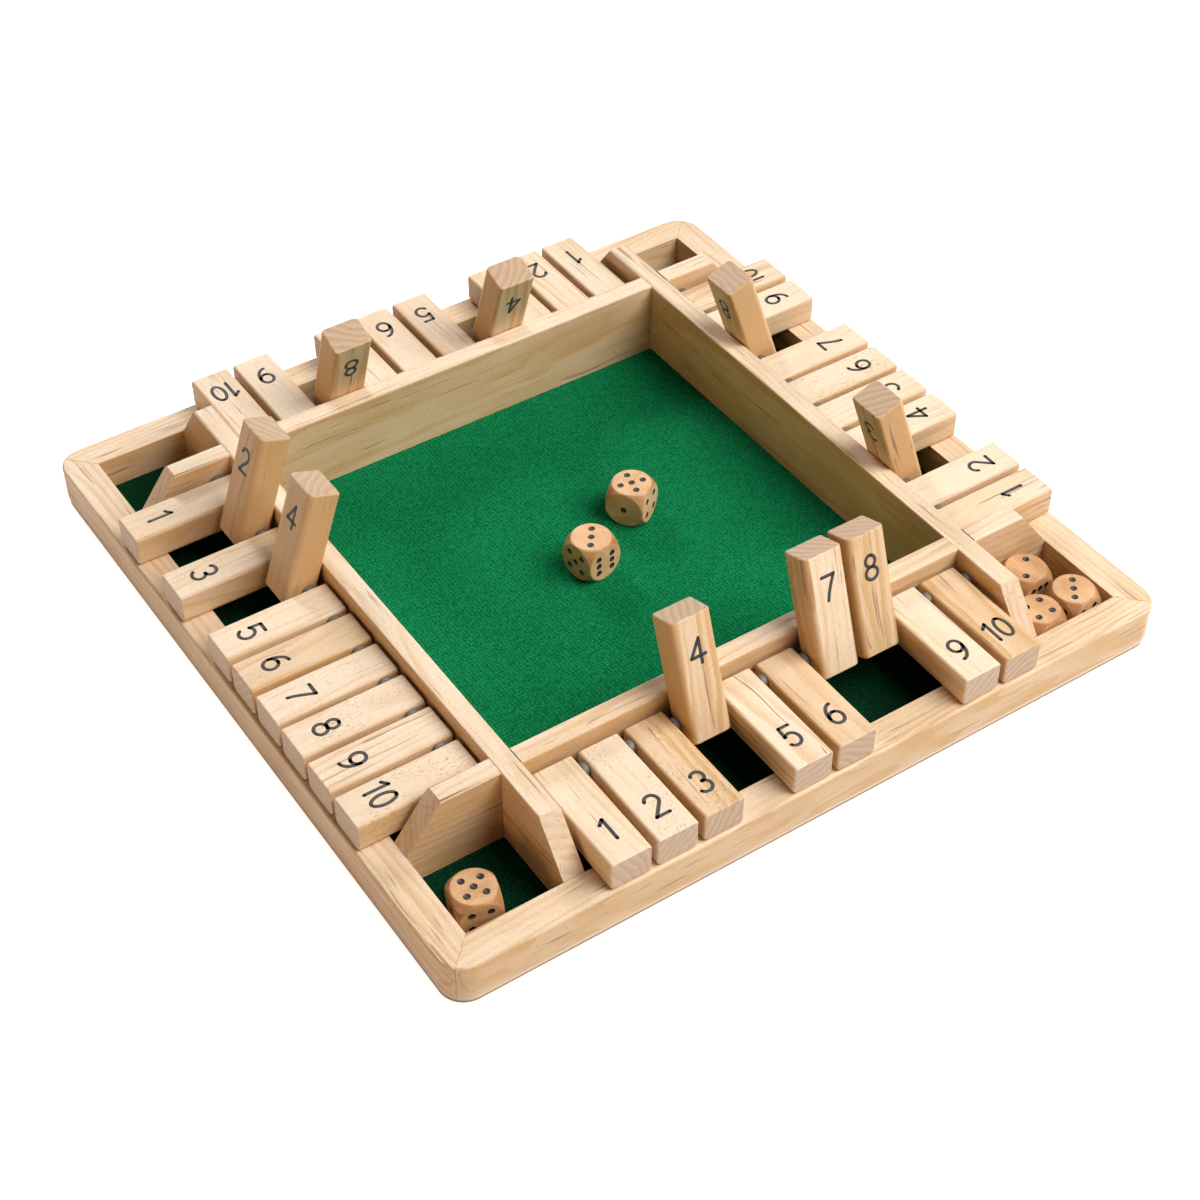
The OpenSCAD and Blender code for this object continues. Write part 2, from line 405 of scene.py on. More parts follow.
def tile_place(side, number):
    """Leads from a tile's own place, its rod along X through the origin, to where it lies."""
    joint = JOINTS[f"tile_{SIDES[side]}_{number}"]
    at_rest = min(joint["range_deg"][0], 0)
    return Matrix.Translation(Vector(joint["pos_m"])) @ side_turn(side) @ turn(at_rest, "X")


def shape_tree(name, sockets):
    """A geometry node tree with named inputs, and its input and output nodes."""
    tree = bpy.data.node_groups.new(name, "GeometryNodeTree")
    tree.interface.new_socket("Geometry", in_out="INPUT", socket_type="NodeSocketGeometry")
    for label, kind, value in sockets:
        socket = tree.interface.new_socket(label, in_out="INPUT", socket_type="NodeSocket" + kind)
        if value is not None:
            socket.default_value = value
    tree.interface.new_socket("Geometry", in_out="OUTPUT", socket_type="NodeSocketGeometry")
    return tree, tree.nodes.new("NodeGroupInput").outputs, tree.nodes.new("NodeGroupOutput")


def finish_tree(tree, geometry, material, end):
    real = add_node(tree, "GeometryNodeRealizeInstances", {"Geometry": geometry})
    painted = add_node(tree, "GeometryNodeSetMaterial",
                       {"Geometry": real.outputs[0], "Material": material})
    tree.links.new(painted.outputs[0], end.inputs[0])


def run_tree(source, tree, values, name):
    """Runs a tree on an object with these inputs and returns the plain mesh it makes."""
    modifier = source.modifiers.new(tree.name, "NODES")
    modifier.node_group = tree
    keys = {item.name: item.identifier for item in tree.interface.items_tree
            if item.in_out == "INPUT"}
    for label, value in values.items():
        modifier[keys[label]] = value
    return baked(source, name)


# ---------------------------------------------------------------- materials

def make_timber_group():
    """Rings, fibres, grain lines and flecks of a sawn piece of timber, from its own place in it."""
    tree = bpy.data.node_groups.new("Timber", "ShaderNodeTree")
    for label in ("Pale", "Gold", "Line", "End"):
        tree.interface.new_socket(label, in_out="INPUT", socket_type="NodeSocketColor")
    for label, value in (("Ring Spacing", 3.0), ("Rings", 0.6), ("Lines", 0.6), ("Golden", 0.1),
                         ("Side Tone And Shade", 0.0)):
        tree.interface.new_socket(label, in_out="INPUT",
                                  socket_type="NodeSocketFloat").default_value = value
    tree.interface.new_socket("Colour", in_out="OUTPUT", socket_type="NodeSocketColor")
    tree.interface.new_socket("Height", in_out="OUTPUT", socket_type="NodeSocketFloat")
    given = tree.nodes.new("NodeGroupInput").outputs
    end = tree.nodes.new("NodeGroupOutput")

    place = timber_place(tree)
    tone, flecks, figure = timber_look(tree)
    end_grain = remap(tree, attribute(tree, "end_grain", "Fac"), 0.68, 1.0)

    # The rings of a log whose middle lies below the piece and drifts along it
    wander = noise(tree, place, (0.055, 0.011, 0.055), 2.0, 0.5, "Color")
    wander = vector_maths(tree, "SUBTRACT", wander, (0.5, 0.5, 0.5))
    bent = vector_maths(tree, "ADD", place, vector_maths(tree, "MULTIPLY", wander, (10, 0, 10)))
    x, y, z = split(tree, bent)
    across = total(tree, x, product(tree, y, 0.045), 14.0)
    depth = total(tree, z, 34.0)
    flat = add_node(tree, "ShaderNodeCombineXYZ", {0: across, 2: depth}).outputs[0]
    radius = vector_maths(tree, "LENGTH", flat)
    ring = maths(tree, "FRACT", maths(tree, "DIVIDE", radius, given["Ring Spacing"]))
    late = product(tree, remap(tree, ring, 0.25, 0.86), remap(tree, ring, 1.0, 0.93))
    faint = remap(tree, noise(tree, bent, (0.16, 0.006, 0.16)), 0.35, 0.62, 0.12, 1.0)
    rings = product(tree, late, faint, given["Rings"], figure)

    fibres = noise(tree, place, (4.2, 0.11, 4.2), 3.0, 0.6)
    grit = noise(tree, place, (2.6, 1.3, 2.6), 2.0, 0.6)
    cloud = noise(tree, place, (0.075, 0.022, 0.075), 2.0)
    # Faces on the grain's side get their own tone: partly the cut of the grain, partly painted
    # shade that keeps top faces pale and side faces golden
    side = product(tree, attribute(tree, "side_grain", "Fac"), given["Side Tone And Shade"])
    golden = total(tree, given["Golden"], tone, side,
                   remap(tree, cloud, 0.3, 0.7, -0.16, 0.18),
                   remap(tree, fibres, 0.25, 0.75, -0.11, 0.13),
                   remap(tree, grit, 0.3, 0.7, -0.05, 0.05), rings, clamp=True)
    wood = mix_colour(tree, golden, given["Pale"], given["Gold"])

    thin = remap(tree, noise(tree, bent, (0.95, 0.0085, 0.95), 1.0), 0.63, 0.69)
    broken = remap(tree, noise(tree, place, (0.4, 0.03, 0.4)), 0.40, 0.60)
    lines = product(tree, thin, broken, given["Lines"], figure)
    dash = remap(tree, noise(tree, place, (1.7, 0.5, 1.7), 2.0, 0.6), 0.60, 0.66)
    patch = remap(tree, noise(tree, place, (0.09, 0.035, 0.09)), 0.44, 0.56)
    dash = product(tree, dash, patch, flecks)
    pores = remap(tree, noise(tree, place, (3.4, 0.6, 3.4), 2.0, 0.6), 0.52, 0.72, 0.0, 0.3)
    dark = maths(tree, "MAXIMUM", maths(tree, "MAXIMUM", lines, dash), pores, clamp=True)
    wood = mix_colour(tree, dark, wood, given["Line"])

    # Cut ends are duller, and show their rings as bands
    cut = mix_colour(tree, 0.72, given["Pale"], given["End"])
    cut = mix_colour(tree, remap(tree, ring, 0.15, 0.9, 0.0, 0.4), cut, given["Line"])
    cut = mix_colour(tree, remap(tree, grit, 0.35, 0.7, 0.0, 0.3), cut, given["Line"])
    wood = mix_colour(tree, product(tree, end_grain, 0.85), wood, cut)
    tree.links.new(wood, end.inputs["Colour"])

    height = maths(tree, "SUBTRACT", product(tree, fibres, 0.6), dark)
    tree.links.new(total(tree, height, product(tree, grit, 0.25)), end.inputs["Height"])
    return tree


def make_timber(name, group, look, spacing, rings, lines, golden, side):
    """Planed wood with its own ring spacing, strength of figure, and tone of each face; the tone of
    the faces on the grain's side is partly painted shade.
    """
    material, tree, shader = new_material(name, Roughness=0.52, Specular_IOR_Level=0.35)
    timber = add_node(tree, "ShaderNodeGroup", node_tree=group)
    for label, value in (("Pale", look.pale), ("Gold", look.gold), ("Line", look.line),
                         ("End", look.end)):
        timber.inputs[label].default_value = (*value, 1)
    for label, value in (("Ring Spacing", spacing), ("Rings", rings), ("Lines", lines),
                         ("Golden", golden), ("Side Tone And Shade", side)):
        timber.inputs[label].default_value = value
    tree.links.new(timber.outputs["Colour"], shader.inputs["Base Color"])
    bump(tree, shader, timber.outputs["Height"], 0.06 * MM, 0.7)


def make_ply(name, look):
    """Thin plywood: a pale veneer at the top of its edge over a darker lower band, which is painted
    shadow under the board's edge.
    """
    material, tree, shader = new_material(name, Roughness=0.7, Specular_IOR_Level=0.3)
    height = split(tree, board_place(tree))[2]
    fibres = noise(tree, timber_place(tree), (2.6, 0.12, 2.6), 3.0, 0.6)
    veneer = remap(tree, height, 1.25, 1.45)
    pale = mix_colour(tree, fibres, (0.80, 0.75, 0.66), (0.66, 0.58, 0.47))
    # The lower part of the edge is painted shadow: a dark band that stands in for the shade under
    # the board
    painted_shadow_band = mix_colour(tree, fibres, look.line, look.gold)
    tree.links.new(mix_colour(tree, veneer, painted_shadow_band, pale), shader.inputs["Base Color"])
    bump(tree, shader, fibres, 0.05 * MM, 0.6)


def make_die_timber(look):
    """Turned and tumbled wood: paler flat faces, darker and shinier rounded parts."""
    material, tree, shader = new_material("Dice wood", Specular_IOR_Level=0.45, Coat_Weight=0.12,
                                          Coat_Roughness=0.25)
    place = timber_place(tree)
    polish = attribute(tree, "polish", "Fac")
    fibres = noise(tree, place, (3.4, 0.3, 3.4), 3.0, 0.6)
    cloud = noise(tree, place, (0.16, 0.08, 0.16), 2.0)
    grit = noise(tree, place, (3.0, 2.2, 3.0), 2.0, 0.6)
    # A darker ring runs round each flat face
    rim = product(tree, remap(tree, polish, 0.0, 0.1), remap(tree, polish, 0.7, 0.2))
    dark = total(tree, product(tree, polish, 0.75),
                 remap(tree, cloud, 0.3, 0.7, -0.15, 0.3),
                 remap(tree, fibres, 0.25, 0.75, -0.14, 0.22),
                 timber_look(tree)[0], product(tree, rim, 0.35),
                 remap(tree, grit, 0.3, 0.7, -0.06, 0.08), clamp=True)
    tree.links.new(mix_colour(tree, dark, look.face, look.rounded), shader.inputs["Base Color"])
    tree.links.new(remap(tree, polish, 0.0, 1.0, 0.5, 0.36), shader.inputs["Roughness"])
    bump(tree, shader, total(tree, fibres, grit), 0.03 * MM, 0.6)


def make_felt_cloth(look):
    """Short green nap over a close weave, with painted shade on the felt outside the tray walls."""
    material, tree, shader = new_material("Felt", Roughness=1.0, Specular_IOR_Level=0.04,
                                          Sheen_Weight=0.06, Sheen_Roughness=0.5,
                                          Sheen_Tint=(0.1, 0.8, 0.4))
    place = board_place(tree)
    fuzz = noise(tree, place, (1.2, 1.2, 1.2), 3.0, 0.6)
    tufts = noise(tree, place, (0.8, 0.8, 0.8), 2.0, 0.55)
    cloud = noise(tree, place, (0.03, 0.03, 0.03), 2.0)
    x, y, _ = split(tree, place)
    # Outside the tray walls the felt is painted dark: painted shade in the pockets and in the slots
    # under the tiles
    wall_in, wall_out = (corner[0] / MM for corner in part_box("wall_right"))
    reach = maths(tree, "MAXIMUM", maths(tree, "ABSOLUTE", x), maths(tree, "ABSOLUTE", y))
    painted_shade = remap(tree, reach, wall_in - 2, wall_out)
    # The threads lie askew, 2.1 radians of their wave to a millimetre
    warp, weft = (maths(tree, "SINE", product(tree, maths(tree, way, x, y), 2.1))
                  for way in ("ADD", "SUBTRACT"))
    lift = total(tree, remap(tree, fuzz, 0.30, 0.66), product(tree, warp, weft, 0.36),
                 remap(tree, tufts, 0.3, 0.7, -0.1, 0.1),
                 remap(tree, cloud, 0.3, 0.7, -0.08, 0.08), clamp=True)
    open_felt = mix_colour(tree, lift, look.deep, look.colour)
    painted_shade_felt = mix_colour(tree, lift, [0.35 * part for part in look.painted_shade], look.painted_shade)
    tree.links.new(mix_colour(tree, painted_shade, open_felt, painted_shade_felt), shader.inputs["Base Color"])
    bump(tree, shader, total(tree, lift, fuzz), 0.22 * MM, 0.8)


def make_metal(name, colour, roughness):
    """Drawn or punched metal with faint scratches round it."""
    material, tree, shader = new_material(name, Metallic=1.0)
    place = board_place(tree)
    marks = noise(tree, place, (2.5, 2.5, 2.5), 3.0, 0.7)
    tone = mix_colour(tree, remap(tree, marks, 0.3, 0.7, 0.0, 0.3), colour,
                      [0.72 * part for part in colour])
    tree.links.new(tone, shader.inputs["Base Color"])
    tree.links.new(remap(tree, marks, 0.3, 0.7, roughness, roughness + 0.14),
                   shader.inputs["Roughness"])
    bump(tree, shader, marks, 0.01 * MM, 0.5)


def make_ink(name, colour, roughness, coat):
    """Printing ink or paint with a slightly uneven film."""
    material, tree, shader = new_material(name, Specular_IOR_Level=0.4, Coat_Weight=coat,
                                          Coat_Roughness=0.12)
    place = board_place(tree)
    film = noise(tree, place, (1.8, 1.8, 1.8), 3.0, 0.6)
    tone = mix_colour(tree, remap(tree, film, 0.35, 0.75, 0.0, 0.5), colour,
                      [1.9 * part for part in colour])
    tree.links.new(tone, shader.inputs["Base Color"])
    tree.links.new(remap(tree, film, 0.3, 0.7, roughness - 0.06, roughness + 0.08),
                   shader.inputs["Roughness"])


def make_materials(scene):
    group = make_timber_group()
    wood = scene.board_wood
    # The side tones keep the top faces pale and the side faces golden, and the walls' strong golden
    # level darkens their faces in the tray: partly painted shade
    make_timber("Tile wood", group, wood, 3.1, 0.48, 0.75, 0.06, 0.55)
    make_timber("Rail wood", group, wood, 2.6, 0.40, 0.80, 0.25, 0.45)
    make_timber("Wall wood", group, wood, 2.9, 0.36, 0.75, 0.70, -0.60)
    make_ply("Panel ply", wood)
    make_die_timber(scene.board_dice)
    make_felt_cloth(scene.board_felt)
    make_metal("Rod steel", (0.62, 0.62, 0.64), 0.28)
    make_metal("Washer metal", (0.21, 0.19, 0.165), 0.68)
    make_ink("Number ink", tuple(scene.board_tiles.ink), 0.5, 0.0)
    make_ink("Pip paint", (0.013, 0.011, 0.010), 0.5, 0.12)


# ---------------------------------------------------------------- the board

class BoardMaker:
    """What the board's operators share."""
    bl_options = {"REGISTER", "UNDO"}


class BOARD_OT_bottom_panel(BoardMaker, bpy.types.Operator):
    """Make the thin bottom panel with eased edges"""
    bl_idname = "flip_board.bottom_panel"
    bl_label = "Bottom Panel"

    def execute(self, context):
        mesh = eased_solid("base_panel", "bottom_panel", 0.3 * MM, 0.5 * MM)
        set_grain(mesh, Matrix.Identity(4), random.Random(3), tone=0.1)
        piece("bottom_panel", mesh, "board", "base_panel", slot="wood_base", material="Panel ply")
        return {"FINISHED"}


def four_sides(kind, material, seed, lay, ease, shortest=0.5 * MM):
    """Makes the rail or wall of each side. It is turned to lie along X, and then lay turns its
    grain to run along Y."""
    draw = random.Random(seed)
    for side, name in enumerate(SIDES):
        mesh = eased_solid(f"{kind}_{name}", f"wood_{kind}_{name}", ease, shortest)
        set_grain(mesh, lay @ side_turn(side).inverted(), draw, tone=draw.uniform(-0.08, 0.08))
        piece(f"wood_{kind}_{name}", mesh, "board", f"{kind}_{name}", slot="wood_" + kind,
              material=material)


class BOARD_OT_rails(BoardMaker, bpy.types.Operator):
    """Make the four mitred rails round the board"""
    bl_idname = "flip_board.rails"
    bl_label = "Rails"

    def execute(self, context):
        four_sides("rail", "Rail wood", 11, turn(90, "Z"), 0.25 * MM, shortest=0)
        return {"FINISHED"}


class BOARD_OT_walls(BoardMaker, bpy.types.Operator):
    """Make the four tray walls, half-lapped where they cross"""
    bl_idname = "flip_board.walls"
    bl_label = "Tray Walls"

    def execute(self, context):
        four_sides("wall", "Wall wood", 23, turn(90, "Y") @ turn(90, "Z"),
                   context.scene.board_wood.edge)
        return {"FINISHED"}


class BOARD_OT_felt(BoardMaker, bpy.types.Operator):
    """Lay the felt on the bottom panel"""
    bl_idname = "flip_board.felt"
    bl_label = "Felt"

    def execute(self, context):
        look = context.scene.board_felt
        low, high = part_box("felt_lining")
        across = high[0] - low[0]
        steps = round(across / look.step)
        builder = bmesh.new()
        bmesh.ops.create_grid(builder, x_segments=steps, y_segments=steps, size=across / 2)
        draw = random.Random(31)
        for vert in builder.verts:
            vert.co.z = high[2] - draw.random() * look.nap
        rim = [edge for edge in builder.edges if edge.is_boundary]
        skirt = bmesh.ops.extrude_edge_only(builder, edges=rim)["geom"]
        lowest = [item for item in skirt if isinstance(item, bmesh.types.BMVert)]
        for vert in lowest:
            vert.co.z = low[2]
        floor = [item for item in skirt if isinstance(item, bmesh.types.BMEdge)
                 and item.verts[0] in lowest and item.verts[1] in lowest]
        bmesh.ops.contextual_create(builder, geom=floor)
        bmesh.ops.recalc_face_normals(builder, faces=builder.faces)
        mesh = mesh_from(builder, "felt")
        shade(mesh, FELT_CREASE)
        made = piece("felt", mesh, "board", "felt_lining", slot="felt", material="Felt")
        return {"FINISHED"}


class BOARD_OT_pivots(BoardMaker, bpy.types.Operator):
    """Finish the pivot rods and thread the spacer washers on them"""
    bl_idname = "flip_board.pivots"
    bl_label = "Rods and Washers"

    def execute(self, context):
        look = context.scene.board_pivots
        rods = frame["nodes"]["pivot_rods"]
        rods.data.materials.clear()
        rods.data.materials.append(MATERIALS["Rod steel"])
        first = JOINTS["tile_front_1"]["pos_m"]
        # The first washer of the front row, as far from the middle as the last one
        start = -(look.pitch * (look.count - 1)) / 2
        seed = link_object("washer_seed", bpy.data.meshes.new("washer_seed"))
        values = {"Count": look.count, "Pitch": look.pitch, "Thickness": look.thickness,
                  "Outer Radius": look.width / 2, "Bore Radius": look.bore / 2,
                  "Start": (start, first[1], first[2]), "Material": MATERIALS["Washer metal"]}
        mesh = run_tree(seed, washer_tree(), values, "washers")
        shade(mesh, WASHER_CREASE)
        piece("washers", mesh, "board", "spacer_washers", slot="washer")
        return {"FINISHED"}


def washer_tree():
    """A row of washers on each side: a bevelled section swept round, along a line, four times."""
    tree, given, end = shape_tree("Washer rows", (
        ("Count", "Int", 11), ("Pitch", "Float", 0.0186), ("Thickness", "Float", 0.002),
        ("Outer Radius", "Float", 0.0031), ("Bore Radius", "Float", 0.001),
        ("Start", "Vector", None), ("Material", "Material", None)))
    wall = maths(tree, "SUBTRACT", given["Outer Radius"], given["Bore Radius"])
    middle = product(tree, total(tree, given["Outer Radius"], given["Bore Radius"]), 0.5)
    section = add_node(tree, "GeometryNodeCurvePrimitiveQuadrilateral",
                       {"Width": wall, "Height": given["Thickness"]})
    eased = add_node(tree, "GeometryNodeFilletCurve",
                     {"Curve": section.outputs[0], "Count": 3, "Radius": 0.00018}, mode="POLY")
    path = add_node(tree, "GeometryNodeCurvePrimitiveCircle", {"Resolution": 28, "Radius": middle})
    ring = add_node(tree, "GeometryNodeCurveToMesh",
                    {"Curve": path.outputs[0], "Profile Curve": eased.outputs[0]})
    line = add_node(tree, "GeometryNodeMeshLine",
                    {"Count": given["Count"], "Start Location": given["Start"],
                     "Offset": add_node(tree, "ShaderNodeCombineXYZ",
                                        {0: given["Pitch"]}).outputs[0]})
    row = add_node(tree, "GeometryNodeInstanceOnPoints",
                   {"Points": line.outputs[0], "Instance": ring.outputs[0],
                    "Rotation": (0, math.pi / 2, 0)})
    rows = add_node(tree, "GeometryNodeMeshLine", {"Count": 4, "Offset": (0, 0, 0)})
    quarters = product(tree, add_node(tree, "GeometryNodeInputIndex").outputs[0], math.pi / 2)
    board = add_node(tree, "GeometryNodeInstanceOnPoints",
                     {"Points": rows.outputs[0], "Instance": row.outputs[0],
                      "Rotation": add_node(tree, "ShaderNodeCombineXYZ", {2: quarters}).outputs[0]})
    finish_tree(tree, board.outputs[0], given["Material"], end)
    return tree


# ---------------------------------------------------------------- the tiles

def tile_section(look, inset):
    """Outline of a tile across its length, drawn in by inset, round its own rod."""
    low, high = TILE_UNDER * MM, ROD_BELOW_TOP * MM
    half = TILE_WIDTH * MM / 2
    corners = ((-half, low, look.under_round, 180), (half, low, look.under_round, 270),
               (half, high, look.top_round, 0), (-half, high, look.top_round, 90))
    outline = []
    for x, z, radius, start in corners:
        centre = (x - math.copysign(radius, x), z + (radius if z == low else -radius))
        kept = max(radius - inset, 0.05 * MM)
        for part in QUARTER:
            way = math.radians(start) + part
            outline.append((centre[0] + kept * math.cos(way), centre[1] + kept * math.sin(way)))
    return outline


def tile_block(look):
    """A tile with every edge rounded and its rod hole bored, its free end towards -Y."""
    builder = bmesh.new()
    tail, head = TILE_TAIL * MM, (TILE_TAIL - TILE_LENGTH) * MM
    stations = [(tail - look.end_round * (1 - math.sin(a)), look.end_round * (1 - math.cos(a)))
                for a in reversed(QUARTER)]
    stations += [(head + look.end_round * (1 - math.sin(a)), look.end_round * (1 - math.cos(a)))
                 for a in QUARTER]
    rings = []
    for y, inset in stations:
        rings.append([builder.verts.new((x, y, z)) for x, z in tile_section(look, inset)])
    for one, other in zip(rings, rings[1:]):
        count = len(one)
        for i in range(count):
            builder.faces.new((one[i], one[(i + 1) % count], other[(i + 1) % count], other[i]))
    builder.faces.new(rings[0])
    builder.faces.new(rings[-1])
    bmesh.ops.recalc_face_normals(builder, faces=builder.faces)
    block = link_object("tile_blank", mesh_from(builder, "tile_blank"))

    drill = bmesh.new()
    bmesh.ops.create_cone(drill, cap_ends=True, segments=32, radius1=BORE_RADIUS * MM,
                          radius2=BORE_RADIUS * MM, depth=1.5 * TILE_WIDTH * MM,
                          matrix=turn(90, "Y"))
    drill = link_object("drill", mesh_from(drill, "drill"))
    cut = block.modifiers.new("Rod hole", "BOOLEAN")
    cut.operation, cut.solver, cut.object = "DIFFERENCE", "EXACT", drill
    mesh = baked(block, "tile_block")
    discard(drill)
    return finished(mesh)


def arc(x, y, across, up, start, stop, count=14):
    """Points on an ellipse from one angle to another, in degrees."""
    turns = [math.radians(start + (stop - start) * i / (count - 1)) for i in range(count)]
    return [(x + across * math.cos(a), y + up * math.sin(a)) for a in turns]


# Strokes of the printed digits in a frame one high, centred on the origin
DIGITS = {
    0: [arc(0, 0, 0.27, 0.5, 90, 450, 29)],
    1: [[(-0.17, 0.30), (0.05, 0.5)], [(0.05, 0.5), (0.05, -0.5)]],
    2: [arc(0, 0.23, 0.27, 0.27, 165, -38, 14) + [(-0.27, -0.5)], [(-0.27, -0.5), (0.29, -0.5)]],
    3: [arc(0, 0.25, 0.25, 0.25, 150, -80), arc(0, -0.23, 0.28, 0.27, 80, -150)],
    4: [[(0.12, -0.5), (0.12, 0.5)], [(0.12, 0.5), (-0.30, -0.20)],
        [(-0.30, -0.20), (0.31, -0.20)]],
    5: [[(0.24, 0.5), (-0.18, 0.5)], [(-0.18, 0.5), (-0.22, 0.03)],
        arc(0.0, -0.18, 0.28, 0.32, 138, -145, 17)],
    6: [arc(0, -0.20, 0.27, 0.30, 90, 450, 25), arc(0.16, -0.16, 0.43, 0.66, 180, 92, 10)],
    7: [[(-0.27, 0.5), (0.28, 0.5)], [(0.28, 0.5), (0.10, 0.10), (-0.03, -0.24), (-0.09, -0.5)]],
    8: [arc(0, 0.26, 0.22, 0.24, 90, 450, 23), arc(0, -0.24, 0.27, 0.26, 90, 450, 25)],
}
DIGITS[9] = [[(-x, -y) for x, y in stroke] for stroke in DIGITS[6]]
DIGITS[10] = ([[(x - 0.36, y) for x, y in stroke] for stroke in DIGITS[1]]
              + [[(0.92 * x + 0.22, y) for x, y in stroke] for stroke in DIGITS[0]])


def number_tree():
    """Flat printed strokes with round ends along the curves of a number."""
    tree, given, end = shape_tree("Printed strokes", (
        ("Stroke Width", "Float", 0.001), ("Ink Film", "Float", 0.0001),
        ("Material", "Material", None)))
    upright = add_node(tree, "GeometryNodeSetCurveNormal", {"Curve": given["Geometry"]},
                       mode="Z_UP")
    section = add_node(tree, "GeometryNodeCurvePrimitiveQuadrilateral",
                       {"Width": given["Stroke Width"], "Height": given["Ink Film"]})
    strokes = add_node(tree, "GeometryNodeCurveToMesh",
                       {"Curve": upright.outputs[0], "Profile Curve": section.outputs[0],
                        "Fill Caps": True})
    tips = add_node(tree, "GeometryNodeCurveEndpointSelection")
    dots = add_node(tree, "GeometryNodeMeshCylinder",
                    {"Vertices": 16, "Radius": product(tree, given["Stroke Width"], 0.5),
                     "Depth": given["Ink Film"]})
    ends = add_node(tree, "GeometryNodeInstanceOnPoints",
                    {"Points": given["Geometry"], "Selection": tips.outputs[0],
                     "Instance": dots.outputs[0]})
    both = tree.nodes.new("GeometryNodeJoinGeometry")
    tree.links.new(strokes.outputs[0], both.inputs[0])
    tree.links.new(ends.outputs[0], both.inputs[0])
    finish_tree(tree, both.outputs[0], given["Material"], end)
    return tree


def number_print(number, tree, look):
    """A number's ink, lying flat round the origin."""
    curve = bpy.data.curves.new("strokes", "CURVE")
    curve.dimensions = "3D"
    for stroke in DIGITS[number]:
        closed = stroke[0] == stroke[-1] or math.dist(stroke[0], stroke[-1]) < 1e-6
        points = stroke[:-1] if closed else stroke
        spline = curve.splines.new("POLY")
        spline.points.add(len(points) - 1)
        spline.use_cyclic_u = closed
        for point, (x, y) in zip(spline.points, points):
            point.co = (x * look.number_height, y * look.number_height, 0, 1)
    holder = link_object("strokes", curve)
    values = {"Stroke Width": look.stroke, "Ink Film": INK_FILM * MM,
              "Material": MATERIALS["Number ink"]}
    return run_tree(holder, tree, values, f"number_{number}")


class BOARD_OT_tiles(BoardMaker, bpy.types.Operator):
    """Make the flip tiles, ten on each side, printed on both faces"""
    bl_idname = "flip_board.tiles"
    bl_label = "Number Tiles"

    def execute(self, context):
        look = context.scene.board_tiles
        block = tile_block(look)
        strokes = number_tree()
        centre_y = (TILE_TAIL - TILE_LENGTH + NUMBER_FROM_END) * MM
        upper = Matrix.Translation((0, centre_y, ROD_BELOW_TOP * MM))
        under = Matrix.Translation((0, centre_y, TILE_UNDER * MM)) @ turn(180, "X")
        prints = {}
        for number in range(1, TILES_IN_ROW + 1):
            ink = number_print(number, strokes, look)
            both = bmesh.new()
            for place in (upper, under):
                one = ink.copy()
                one.transform(place)
                both.from_mesh(one)
            prints[number] = mesh_from(both, f"number_{number}_both")
            prints[number].materials.append(MATERIALS["Number ink"])
        draw = random.Random(47)
        for side, name in enumerate(SIDES):
            for number in range(1, TILES_IN_ROW + 1):
                body = f"tile_{name}_{number}"
                place = tile_place(side, number)
                tone, flecks = draw.uniform(-0.08, 0.12), draw.uniform(-0.5, 0.4)
                tone += 0.5 * (number in GOLDEN[name]) - 0.12 * (number in PALE[name])
                mesh = block.copy()
                set_grain(mesh, Matrix.Identity(4), draw, tone=tone,
                          flecks=0.7 if number in FLECKED[name] else max(0, flecks),
                          figure=0.4 + 1.2 * draw.random() ** 1.5)
                mesh.transform(place)
                piece("wood_" + body, mesh, body, body, slot="wood_tile", material="Tile wood")
                ink = prints[number].copy()
                ink.transform(place)
                piece(f"number_{name}_{number}", ink, body)
        return {"FINISHED"}


# ---------------------------------------------------------------- the dice

def pip_spots(pips):
    """Places of a face's pips in steps of half the pitch."""
    spots = [(0, 0)] if pips % 2 else []
    spots += [(1, 1), (-1, -1)] if pips > 1 else []
    spots += [(1, -1), (-1, 1)] if pips > 3 else []
    spots += [(1, 0), (-1, 0)] if pips == 6 else []
    return spots


def face_turn(face):
    """Leads from the upper face to this one."""
    return turn(*((90, "Y"), (-90, "Y"), (-90, "X"), (90, "X"), (0, "X"), (180, "X"))[face])


def pip_tree():
    """A ball at each pip's place, to be cut out of the die."""
    tree, given, end = shape_tree("Pip balls", (
        ("Ball Radius", "Float", 0.0018), ("Material", "Material", None)))
    ball = add_node(tree, "GeometryNodeMeshUVSphere",
                    {"Segments": 32, "Rings": 20, "Radius": given["Ball Radius"]})
    balls = add_node(tree, "GeometryNodeInstanceOnPoints",
                     {"Points": given["Geometry"], "Instance": ball.outputs[0]})
    finish_tree(tree, balls.outputs[0], given["Material"], end)
    return tree


